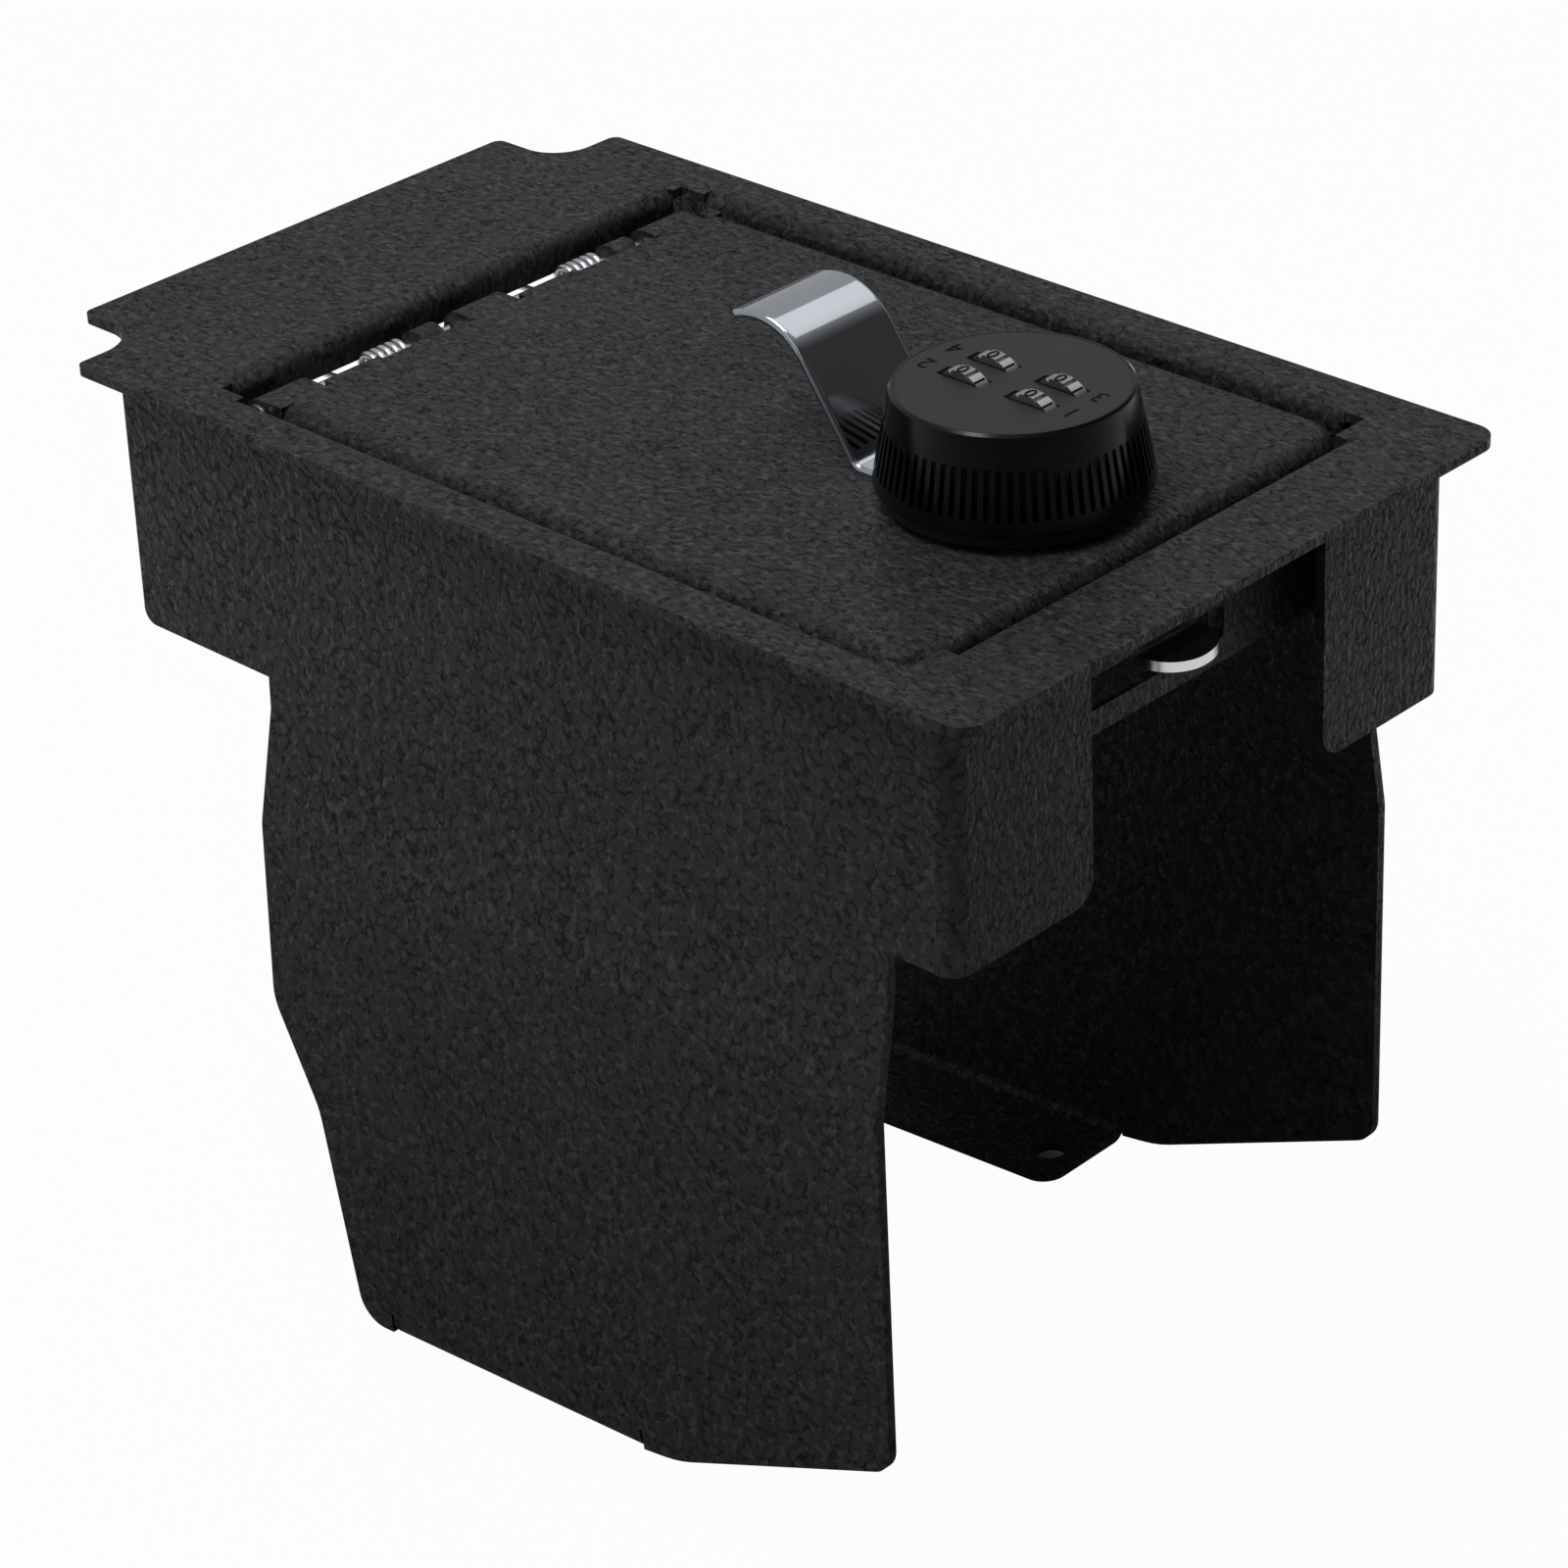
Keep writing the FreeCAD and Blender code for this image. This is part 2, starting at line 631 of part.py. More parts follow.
def make_lid():
    body = new_body("lid_panel")
    sketch = new_sketch(body, "XY_Plane", f"{LID_TOP}-dim.lid_return")
    add_loop(sketch, [
        (f"-{LID_HALF}", f"-{LID_FRONT}", "dim.lid_corner"),
        (LID_HALF, f"-{LID_FRONT}", "dim.lid_corner"),
        (LID_HALF, TRAY_REAR),
        (f"-{LID_HALF}", TRAY_REAR),
    ])
    block = pad(body, sketch, "dim.lid_return")
    top = value(LID_TOP)
    rear = value(TRAY_REAR)

    def rolled_edge(points):
        at_top = all(abs(point.z - top) < 1e-4 for point in points)
        return at_top and not all(abs(point.y - rear) < 1e-4 for point in points)

    rolled = fillet(body, block, edges_where(block, rolled_edge), "dim.lid_round")
    low = value(f"{LID_TOP}-dim.lid_return")
    openings = []
    for number, face in enumerate(rolled.Shape.Faces, 1):
        points = [vertex.Point for vertex in face.Vertexes]
        underside = all(abs(point.z - low) < 1e-4 for point in points)
        if underside or all(abs(point.y - rear) < 1e-4 for point in points):
            openings.append(f"Face{number}")
    tray = body.newObject("PartDesign::Thickness", "lid_tray")
    tray.Base = (rolled, openings)
    tray.setExpression("Value", "dim.sheet")
    tray.Reversed = True
    finish(body, tray)
    # Rear strip with the tabs that roll into knuckles and the notches round brackets and springs.
    half_tab = "dim.knuckle_width/2"
    lap_y = f"({TRAY_REAR}-dim.strip_lap)"
    slit_y = f"({HINGE_Y}-dim.slit_gap)"
    notch_y = f"({HINGE_Y}-dim.notch_gap)"
    outline = [(f"({knuckle_centre(-1)}-{half_tab})", lap_y)]
    for index in (-1, 0, 1):
        left = f"({knuckle_centre(index)}-{half_tab})"
        right = f"({knuckle_centre(index)}+{half_tab})"
        if index > -1:
            outline += [
                (f"({left}-dim.slit_width)", LID_REAR),
                (f"({left}-dim.slit_width)", slit_y),
                (left, slit_y),
            ]
        outline += [
            (left, HINGE_Y),
            (right, HINGE_Y),
            (right, slit_y),
            (f"({right}+dim.slit_width)", slit_y),
            (f"({right}+dim.slit_width)", LID_REAR),
        ]
        if index < 1:
            ear = "-dim.ear_left" if index < 0 else "dim.ear_right"
            outline += [
                (f"({ear}-dim.notch_before)", LID_REAR),
                (f"({ear}-dim.notch_before)", notch_y),
                (f"({ear}+dim.notch_after)", notch_y),
                (f"({ear}+dim.notch_after)", LID_REAR),
            ]
    strip_right = f"({LID_HALF}-dim.strip_lap)"
    outline += [(strip_right, LID_REAR), (strip_right, lap_y)]
    sketch = new_sketch(body, "XY_Plane", LID_UNDER)
    add_loop(sketch, outline)
    pad(body, sketch, "dim.sheet")
    for index in (-1, 0, 1):
        sketch = new_sketch(body, "YZ_Plane", knuckle_centre(index))
        add_circle(sketch, HINGE_Y, HINGE_Z, KNUCKLE_RADIUS)
        pad(body, sketch, "dim.knuckle_width", symmetric=True)
    sketch = new_sketch(body, "YZ_Plane")
    add_circle(sketch, HINGE_Y, HINGE_Z, "dim.pin_radius+dim.pin_clearance")
    pocket(body, sketch)
    sketch = new_sketch(body, "XY_Plane")
    add_circle(sketch, "0", LOCK_Y, "dim.barrel_radius+dim.barrel_clearance")
    pocket(body, sketch)


def make_hinge_ear(label, place):
    body = new_body(label)
    low = f"({HINGE_Z}-dim.eye_radius)"
    arm_top = f"({low}+dim.sheet)"
    under = "(-dim.sheet)"
    rise_out = f"({OPEN_REAR}+dim.ear_clear)"
    rise_in = f"({rise_out}-dim.sheet)"
    end = f"({OPEN_REAR}+dim.ear_reach)"
    inner = "dim.ear_bend-dim.sheet"
    sketch = new_sketch(body, "YZ_Plane", place)
    add_loop(sketch, [
        (HINGE_Y, low),
        (rise_out, low, "dim.ear_bend"),
        (rise_out, f"{under}-dim.sheet", inner),
        (end, f"{under}-dim.sheet"),
        (end, under),
        (rise_in, under, "dim.ear_bend"),
        (rise_in, arm_top, inner),
        (HINGE_Y, arm_top),
    ])
    pad(body, sketch, "dim.ear_width", symmetric=True)
    sketch = new_sketch(body, "YZ_Plane", place)
    add_circle(sketch, HINGE_Y, HINGE_Z, "dim.eye_radius")
    pad(body, sketch, "dim.ear_width", symmetric=True)
    sketch = new_sketch(body, "YZ_Plane")
    add_circle(sketch, HINGE_Y, HINGE_Z, "dim.pin_radius+dim.pin_hold")
    pocket(body, sketch)


def pin_ends():
    left = f"({knuckle_centre(-1)}-dim.knuckle_width/2-dim.ring_gap-dim.ring_thickness)"
    right = f"({knuckle_centre(1)}+dim.knuckle_width/2+dim.ring_gap)"
    return left, right


def make_hinge_pin():
    left, right = pin_ends()
    body = new_body("hinge_pin")
    sketch = new_sketch(body, "YZ_Plane")
    add_circle(sketch, HINGE_Y, HINGE_Z, "dim.pin_radius")
    ahead = f"{right}+dim.ring_thickness+dim.pin_overhang"
    pad(body, sketch, ahead, behind=f"-{left}+dim.pin_overhang")
    rings = []
    for number, place in enumerate((left, right), 1):
        pair = []
        for name, radius in (("rim", "dim.ring_radius"), ("eye", "dim.pin_radius")):
            round_bar = doc.addObject("Part::Cylinder", f"ring_{name}_{number}")
            round_bar.setExpression("Radius", radius)
            round_bar.setExpression("Height", "dim.ring_thickness")
            round_bar.Placement = FreeCAD.Placement(Vector(), FreeCAD.Rotation(Vector(0, 1, 0), 90))
            round_bar.setExpression("Placement.Base.x", place)
            round_bar.setExpression("Placement.Base.y", HINGE_Y)
            round_bar.setExpression("Placement.Base.z", HINGE_Z)
            pair.append(round_bar)
        ring = doc.addObject("Part::Cut", f"ring_{number}")
        ring.Base = pair[0]
        ring.Tool = pair[1]
        rings.append(ring)
    group = doc.addObject("Part::Compound", "pin_retaining_rings")
    group.Links = rings
    placed(group, "pin_retaining_rings")


def arc_middle(start, corner, end):
    middle = (start + end) * 0.5
    chord = (end - start).normalize()
    bend = chord.getAngle((corner - start).normalize())
    if bend < 1e-9:
        return middle
    return middle + (corner - middle) * (math.tan(bend / 2) / math.tan(bend))


def biarc(start, start_way, end, end_way):
    # Two arcs that leave one point and meet the next along the ways given.
    gap = end - start
    ways = start_way + end_way
    along = gap.dot(ways)
    spread = 2 * (1 - start_way.dot(end_way))
    reach = (-along + math.sqrt(along * along + spread * gap.dot(gap))) / spread
    first = start + start_way * reach
    second = end - end_way * reach
    joint = (first + second) * 0.5
    return [
        Part.Arc(start, arc_middle(start, first, joint), joint).toShape(),
        Part.Arc(joint, arc_middle(joint, second, end), end).toShape(),
    ]


def coil_state(angle, left):
    # Place and way of the wire once it has turned by an angle from the foot of the coil.
    radius = value("dim.coil_radius")
    rise = value("dim.coil_pitch") / (2 * math.pi)
    centre_y = value(HINGE_Y)
    centre_z = value(HINGE_Z)
    place = Vector(
        left + rise * angle,
        centre_y - radius * math.sin(angle),
        centre_z - radius * math.cos(angle),
    )
    way = Vector(rise, -radius * math.cos(angle), radius * math.sin(angle)).normalize()
    return place, way


def least_gap(points, wire, pitch_steps):
    gaps = []
    for i, point in enumerate(points):
        for other in points[i + pitch_steps // 2:]:
            gaps.append((other - point).Length)
    return min(gaps) - wire


def make_hinge_spring(label, ear):
    wire = value("dim.coil_wire")
    right = value(f"{ear}-dim.ear_width/2-dim.coil_clearance-dim.coil_wire/2")
    left = right - COIL_TURNS * value("dim.coil_pitch")
    leg_front = value("dim.coil_leg_front")
    tip_drop = value(f"{LID_UNDER}-dim.coil_leg_gap-dim.coil_wire/2-{HINGE_Z}")
    radius = value("dim.coil_radius")
    reach = math.hypot(leg_front, radius)
    lift = math.asin(tip_drop / reach) + math.atan2(radius, leg_front)
    angles = [2 * math.pi * step / ARCS_PER_TURN for step in range(COIL_TURNS * ARCS_PER_TURN + 1)]
    angles.append(angles[-1] + lift)
    states = [coil_state(angle, left) for angle in angles]
    start, start_way = states[0]
    end, end_way = states[-1]
    tail = start - start_way * value("dim.coil_leg_rear")
    tip = end + end_way * leg_front
    edges = [Part.LineSegment(tail, start).toShape()]
    for (here, way), (there, onward) in zip(states, states[1:]):
        edges += biarc(here, way, there, onward)
    edges.append(Part.LineSegment(end, tip).toShape())
    spine = Part.Wire(edges)
    profile = Part.Wire([Part.Circle(tail, start_way, wire / 2).toShape()])
    tube = Part.BRepOffsetAPI.MakePipeShell(spine)
    tube.add(profile)
    tube.build()
    tube.makeSolid()
    steps_per_turn = 60
    samples = []
    for step in range(COIL_TURNS * steps_per_turn + 1):
        samples.append(coil_state(2 * math.pi * step / steps_per_turn, left)[0])
    gap = least_gap(samples, wire, steps_per_turn)
    print(f"{label}: least gap between turns {gap:.2f} mm")
    if gap < LEAST_COIL_GAP:
        raise RuntimeError(f"{label}: the turns of the coil are too close")
    spring = doc.addObject("Part::Feature", label)
    spring.Shape = tube.shape()
    placed(spring, label)


def make_lift_handle():
    body = new_body("lift_handle")
    sketch = new_sketch(body, "YZ_Plane")
    start = f"({LOCK_Y}-dim.strip_lead)"
    foot_end = f"({LOCK_Y}+dim.strip_foot)"
    crest = f"({foot_end}+(dim.crest_height-{LID_TOP})/tan(dim.strip_slope))"
    end = f"({LOCK_Y}+dim.strip_reach)"
    end_low = f"(dim.crest_height-({end}-{crest})*tan(dim.crest_slope))"
    thick = "dim.strip_thickness"
    fall = "(-dim.crest_slope)"
    end_y = f"({end}+{thick}*sin(dim.crest_slope))"
    end_z = f"({end_low}+{thick}*cos(dim.crest_slope))"
    crest_top = offset_corner(crest, "dim.crest_height", "dim.strip_slope", fall, thick)
    foot_top = offset_corner(foot_end, LID_TOP, "0", "dim.strip_slope", thick)
    add_loop(sketch, [
        (start, LID_TOP),
        (foot_end, LID_TOP, f"dim.strip_foot_bend+{thick}"),
        (crest, "dim.crest_height", "dim.crest_bend"),
        (end, end_low),
        (end_y, end_z),
        (*crest_top, f"dim.crest_bend+{thick}"),
        (*foot_top, "dim.strip_foot_bend"),
        (start, LOCK_SEAT),
    ])
    strip = pad(body, sketch, "dim.strip_width", symmetric=True)
    tip = value(end)
    near = value(thick) + 1e-3

    def end_corner(points):
        upright = abs(points[0].x - points[-1].x) < 1e-4
        return upright and all(abs(point.y - tip) < near for point in points)

    fillet(body, strip, edges_where(strip, end_corner), "dim.strip_end_round")
    sketch = new_sketch(body, "XY_Plane", LID_TOP)
    add_circle(sketch, "0", LOCK_Y, "dim.barrel_radius+dim.barrel_clearance")
    pocket(body, sketch, OVERRUN, flip=True)


def turned(label, outline, turn=None):
    body = new_body(label, LOCK_Y, turn)
    sketch = new_sketch(body, "XZ_Plane")
    add_loop(sketch, outline)
    revolve(body, sketch)
    return body


def ring_outline(inner, outer, low, high):
    return [(inner, low), (outer, low), (outer, high), (inner, high)]


def make_lock():
    bore = "dim.spindle_radius+dim.spindle_clearance"
    flange_top = f"{LOCK_SEAT}+dim.lock_flange"
    turned("lock_body", [
        (bore, BARREL_END),
        ("dim.barrel_radius", BARREL_END),
        ("dim.barrel_radius", LOCK_SEAT),
        ("dim.lock_flange_radius", LOCK_SEAT),
        ("dim.lock_flange_radius", flange_top),
        (bore, flange_top),
    ])
    nut_top = f"({LID_UNDER}-dim.washer_thickness)"
    hole = "dim.barrel_radius+dim.nut_fit"
    turned("lock_washer", ring_outline(hole, "dim.washer_radius", nut_top, LID_UNDER))
    body = new_body("lock_nut", LOCK_Y)
    sketch = new_sketch(body, "XY_Plane", nut_top)
    point = "(dim.nut_flats/2/cos(30))"
    flat = "(dim.nut_flats/2)"
    add_loop(sketch, [
        (point, "0"),
        (f"{point}/2", flat),
        (f"-{point}/2", flat),
        (f"-{point}", "0"),
        (f"-{point}/2", f"-{flat}"),
        (f"{point}/2", f"-{flat}"),
    ])
    add_circle(sketch, "0", "0", hole)
    pad(body, sketch, "dim.nut_height", flip=True)
    # Spindle with a squared lower end that drives the cam.
    spindle_top = f"{CARRIER_FOOT}+dim.spindle_seat"
    body = turned("lock_spindle", [
        ("dim.screw_radius", CAM_TOP),
        ("dim.spindle_radius", CAM_TOP),
        ("dim.spindle_radius", spindle_top),
        ("dim.screw_radius", spindle_top),
    ], "dim.cam_angle")
    half = "(dim.spindle_square/2)"
    sketch = new_sketch(body, "XY_Plane", CAM_TOP)
    add_box(sketch, f"-{half}", half, f"-{half}", half)
    add_circle(sketch, "0", "0", "dim.screw_radius")
    pad(body, sketch, "dim.cam_thickness", flip=True)
    body = new_body("lock_cam", LOCK_Y, "dim.cam_angle")
    sketch = new_sketch(body, "XY_Plane", CAM_UNDER)
    wide = "dim.cam_half_width"
    add_loop(sketch, [
        (f"-{wide}", "-dim.cam_reach", "dim.cam_tip_round"),
        (wide, "-dim.cam_reach", "dim.cam_tip_round"),
        (wide, "dim.cam_heel", "dim.cam_tip_round"),
        (f"-{wide}", "dim.cam_heel", "dim.cam_tip_round"),
    ])
    hole = f"({half}+dim.square_clearance)"
    add_box(sketch, f"-{hole}", hole, f"-{hole}", hole)
    pad(body, sketch, "dim.cam_thickness")
    washer_low = f"({CAM_UNDER}-dim.cam_washer_thickness)"
    washer_radii = ("dim.screw_radius", "dim.cam_washer_radius")
    turned("cam_washer", ring_outline(*washer_radii, washer_low, CAM_UNDER))
    head_low = f"({washer_low}-dim.screw_head_height)"
    turned("cam_screw", [
        ("0", head_low),
        ("dim.screw_head_radius", head_low, "dim.screw_head_round"),
        ("dim.screw_head_radius", washer_low),
        ("dim.screw_radius", washer_low),
        ("dim.screw_radius", f"{washer_low}+dim.screw_length"),
        ("0", f"{washer_low}+dim.screw_length"),
    ])


def make_knob():
    rim_z = f"({KNOB_TOP}-dim.knob_rim)"
    body = turned("knob_grip", [
        ("dim.knob_bore", KNOB_FOOT),
        ("dim.knob_base_radius", KNOB_FOOT),
        ("dim.knob_base_radius", f"{KNOB_FOOT}+dim.knob_base_land"),
        ("dim.knob_top_radius", rim_z),
        (RIM_LAND, KNOB_TOP),
        (FACE_RADIUS, KNOB_TOP),
        (FACE_RADIUS, FACE_SEAT),
        ("dim.knob_bore", FACE_SEAT),
    ])
    sketch = new_sketch(body, "XY_Plane", f"{KNOB_FOOT}+dim.rib_low")
    rib_out = f"dim.knob_base_radius+{OVERRUN}"
    add_box(sketch, "dim.rib_floor", rib_out, "-dim.rib_slot/2", "dim.rib_slot/2")
    cut = pocket(body, sketch, "dim.rib_height", flip=True)
    around(body, cut, "Z_Axis", "dim.rib_count")
    body = new_body("knob_face", LOCK_Y)
    sketch = new_sketch(body, "XY_Plane", FACE_SEAT)
    add_circle(sketch, "0", "0", f"{FACE_RADIUS}-dim.face_fit")
    for x in DIAL_COLUMNS:
        for y in DIAL_ROWS:
            add_box(
                sketch,
                f"{x}-dim.window_width/2",
                f"{x}+dim.window_width/2",
                f"{y}-dim.window_length/2",
                f"{y}+dim.window_length/2",
                "dim.window_round",
            )
    pad(body, sketch, "dim.face_thickness")
    # Carrier with two wells for the dials, bored across for the axles and below for the spindle.
    body = new_body("dial_frame", LOCK_Y)
    sketch = new_sketch(body, "XY_Plane", CARRIER_FOOT)
    add_circle(sketch, "0", "0", "dim.knob_bore-dim.carrier_gap")
    pad(body, sketch, f"{FACE_SEAT}-{CARRIER_FOOT}")
    sketch = new_sketch(body, "XY_Plane", WELL_FLOOR)
    for x in DIAL_COLUMNS:
        left = f"{x}-dim.well_width/2"
        right = f"{x}+dim.well_width/2"
        add_box(sketch, left, right, "-dim.well_length/2", "dim.well_length/2")
    pocket(body, sketch, "dim.knob_height", flip=True)
    sketch = new_sketch(body, "YZ_Plane", "-dim.axle_inner")
    for y in DIAL_ROWS:
        add_circle(sketch, y, DIAL_AXIS, "dim.axle_radius+dim.axle_fit")
    pocket(body, sketch, flip=True)
    sketch = new_sketch(body, "XY_Plane", CARRIER_FOOT)
    add_circle(sketch, "0", "0", "dim.spindle_radius+dim.axle_fit")
    pocket(body, sketch, "dim.spindle_seat", flip=True)
    for label, y in zip(("dial_axle_front", "dial_axle_rear"), DIAL_ROWS):
        body = new_body(label, LOCK_Y)
        sketch = new_sketch(body, "YZ_Plane", "-dim.axle_inner")
        add_circle(sketch, y, DIAL_AXIS, "dim.axle_radius")
        pad(body, sketch, "dim.axle_inner+dim.axle_outer")
    for label, x in zip(("detent_spring_left", "detent_spring_right"), DIAL_COLUMNS):
        body = new_body(label, LOCK_Y)
        sketch = new_sketch(body, "XY_Plane", WELL_FLOOR)
        left = f"{x}-dim.leaf_width/2"
        right = f"{x}+dim.leaf_width/2"
        add_box(sketch, left, right, "-dim.leaf_thickness/2", "dim.leaf_thickness/2")
        pad(body, sketch, "dim.leaf_height")


def make_dial(label, x, y):
    body = new_body(label, f"{LOCK_Y}+({y})")
    body.setExpression("Placement.Base.x", x)
    body.setExpression("Placement.Base.z", f"{STAND}+{DIAL_AXIS}")
    sketch = new_sketch(body, "YZ_Plane")
    add_circle(sketch, "0", "0", "dim.dial_radius")
    add_circle(sketch, "0", "0", "dim.axle_radius+dim.dial_clearance")
    pad(body, sketch, "dim.dial_width", symmetric=True)
    sketch = new_sketch(body, "YZ_Plane")
    turn = "(180/dim.dial_marks)"
    # One finger notch between neighbouring marks, repeated round the rim.
    floor = "(dim.dial_radius-dim.dial_notch_depth)"
    mouth = "(dim.dial_radius+dim.dial_notch_depth)"
    across = f"dim.dial_notch*cos({turn})"
    along = f"dim.dial_notch*sin({turn})"
    add_loop(sketch, [
        (f"{floor}*sin({turn})", f"{floor}*cos({turn})"),
        (f"{mouth}*sin({turn})+{across}", f"{mouth}*cos({turn})-{along}"),
        (f"{mouth}*sin({turn})-{across}", f"{mouth}*cos({turn})+{along}"),
    ])
    cut = pocket(body, sketch)
    around(body, cut, "X_Axis", "dim.dial_marks")


make_top_frame()
make_side_panel("left_side_panel", "-1")
make_side_panel("right_side_panel", "1")
make_lid()
make_hinge_ear("left_hinge_ear", "-dim.ear_left")
make_hinge_ear("right_hinge_ear", "dim.ear_right")
make_hinge_pin()
make_hinge_spring("left_hinge_spring", "-dim.ear_left")
make_hinge_spring("right_hinge_spring", "dim.ear_right")
make_lift_handle()
make_lock()
make_knob()
places = [(x, y) for x in DIAL_COLUMNS for y in DIAL_ROWS]
for number, (x, y) in enumerate(places, 1):
    make_dial(f"dial_wheel_{number}", x, y)
doc.recompute()

for item in doc.Objects:
    if "Invalid" in item.State or "Error" in item.State:
        raise RuntimeError(f"{item.Label}: {item.State}")
os.makedirs("parts", exist_ok=True)
for node in nodes:
    shape = node.Shape
    if shape.isNull() or not shape.isValid():
        raise RuntimeError(f"{node.Label}: the shape is not valid")
    shape.exportStep(f"parts/{node.Label}.step")
    print(f"{node.Label}: {len(shape.Solids)} solid, {shape.Volume:.0f} mm3")
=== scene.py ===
import bpy
import bmesh
import json
import math
from mathutils import Matrix, Vector


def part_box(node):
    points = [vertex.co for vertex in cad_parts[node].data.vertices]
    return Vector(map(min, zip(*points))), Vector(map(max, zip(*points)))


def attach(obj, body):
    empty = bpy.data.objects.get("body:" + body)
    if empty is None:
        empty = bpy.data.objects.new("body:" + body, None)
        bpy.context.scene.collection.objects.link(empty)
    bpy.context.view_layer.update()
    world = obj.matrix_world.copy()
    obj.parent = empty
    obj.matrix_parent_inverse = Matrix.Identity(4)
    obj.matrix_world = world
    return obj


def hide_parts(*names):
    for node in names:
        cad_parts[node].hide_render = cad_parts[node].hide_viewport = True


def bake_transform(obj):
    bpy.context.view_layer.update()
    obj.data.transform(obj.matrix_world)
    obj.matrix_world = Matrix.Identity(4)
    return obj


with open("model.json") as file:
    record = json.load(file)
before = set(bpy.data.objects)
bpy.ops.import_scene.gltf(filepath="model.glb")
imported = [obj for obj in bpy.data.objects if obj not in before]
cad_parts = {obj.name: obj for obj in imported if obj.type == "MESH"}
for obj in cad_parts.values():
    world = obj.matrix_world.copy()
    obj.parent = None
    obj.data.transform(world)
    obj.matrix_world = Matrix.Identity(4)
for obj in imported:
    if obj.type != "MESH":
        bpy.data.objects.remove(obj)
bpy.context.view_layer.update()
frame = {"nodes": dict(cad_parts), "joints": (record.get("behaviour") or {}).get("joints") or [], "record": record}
nodes = frame["nodes"]
print("frame loaded:", len(nodes), "nodes")

scene = bpy.context.scene
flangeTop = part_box("top_frame")[1].z


# Shader helpers: a wired socket that takes part in sums, and a board that adds nodes to a tree.
class Wire:
    def __init__(self, board, socket):
        self.board = board
        self.socket = socket

    def sum(self, operation, first, second):
        return self.board.node("ShaderNodeMath", {"operation": operation}, {0: first, 1: second})

    def __add__(self, other):
        return self.sum("ADD", self, other)

    def __radd__(self, other):
        return self.sum("ADD", other, self)

    def __sub__(self, other):
        return self.sum("SUBTRACT", self, other)

    def __rsub__(self, other):
        return self.sum("SUBTRACT", other, self)

    def __mul__(self, other):
        return self.sum("MULTIPLY", self, other)

    def __rmul__(self, other):
        return self.sum("MULTIPLY", other, self)


class Board:
    def __init__(self, owner):
        self.owner = owner
        owner.use_nodes = True
        self.tree = owner.node_tree

    def node(self, kind, settings=None, inputs=None, output=0):
        made = self.tree.nodes.new(kind)
        for key, setting in (settings or {}).items():
            setattr(made, key, setting)
        for key, value in (inputs or {}).items():
            self.plug(made.inputs[key], value)
        return Wire(self, made.outputs[output])

    def plug(self, socket, value):
        if isinstance(value, Wire):
            self.tree.links.new(value.socket, socket)
        else:
            socket.default_value = value

    def fill(self, values):
        shader = self.tree.nodes["Principled BSDF"]
        for key, value in values.items():
            self.plug(shader.inputs[key], value)
        return self.owner

    def place(self, stretch=(1, 1, 1)):
        spot = self.node("ShaderNodeTexCoord", output="Object")
        return self.node("ShaderNodeMapping", {}, {"Vector": spot, "Scale": stretch})

    def noise(self, spot, scale, detail):
        sockets = {"Vector": spot, "Scale": scale, "Detail": detail}
        return self.node("ShaderNodeTexNoise", {}, sockets, "Fac")

    def range(self, value, low, high):
        spread = {"Value": value, "From Min": low, "From Max": high}
        return self.node("ShaderNodeMapRange", {"interpolation_type": "SMOOTHSTEP"}, spread)

    def blend(self, factor, first, second):
        ends = {0: factor, 6: (*first, 1), 7: (*second, 1)}
        return self.node("ShaderNodeMix", {"data_type": "RGBA"}, ends, 2)

    def vector(self, operation, first, second=(0, 0, 0), output=0):
        sockets = {0: first, 1: second}
        return self.node("ShaderNodeVectorMath", {"operation": operation}, sockets, output)

    # distance from a box that is given by its centre and half sizes
    def away(self, spot, centre, half):
        offset = self.vector("ABSOLUTE", self.vector("SUBTRACT", spot, centre))
        beyond = self.vector("SUBTRACT", offset, half)
        return self.vector("LENGTH", self.vector("MAXIMUM", beyond), output="Value")

    def bump(self, height, strength, distance):
        sockets = {"Height": height, "Strength": strength, "Distance": distance}
        return self.node("ShaderNodeBump", {}, sockets)


def newFinish(name):
    return Board(bpy.data.materials.new(name))


# Charcoal powder coat: leathery pebbles, blisters, short creases and grit in relief; painted highlights lighten
# domes and blisters, painted shade darkens creases, grit and broad blotches vary the tone at random.
coat = {
    "stretch": (1.0, 0.6, 0.6),
    "pebbles": 760,
    "domeEdge": (0.75, 0.1),
    "blisters": 780,
    "blisterDetail": 2.0,
    "blisterEdge": (0.52, 0.68),
    "creases": 520,
    "creaseWidth": 0.0022,
    "creaseRoom": (1.0, 0.3),  # creases run only where pebbles and blisters are low
    "grit": 2000,
    "broad": 40,
    # tone weights: domes and blisters add painted highlight, creases take off painted shade, ground, grit and
    # broad are the coat's own tone
    "tone": {"ground": 0.06, "dome": 0.2, "blisterAndPaintedGlint": 0.48, "grit": 0.54, "broad": 0.18, "creaseAndPaintedShade": 0.32},
    "relief": {"dome": 0.5, "blisterAndPaintedGlint": 0.6, "grit": 0.3, "creaseAndPaintedShade": 0.3},
    # darkest colour, reached in the creases as painted shade, and lightest colour, reached on domes and blisters
    # as painted highlight
    "creaseAndPaintedShade": (0.0035, 0.0038, 0.0041),
    "lightToneAndPaintedHighlight": (0.047, 0.051, 0.0545),
    "rough": 0.4,
    "creaseRough": 0.2,
    "blisterShine": 0.1,
    "gloss": 0.1,
    "strength": 1.0,
    "depth": 0.0002,
}


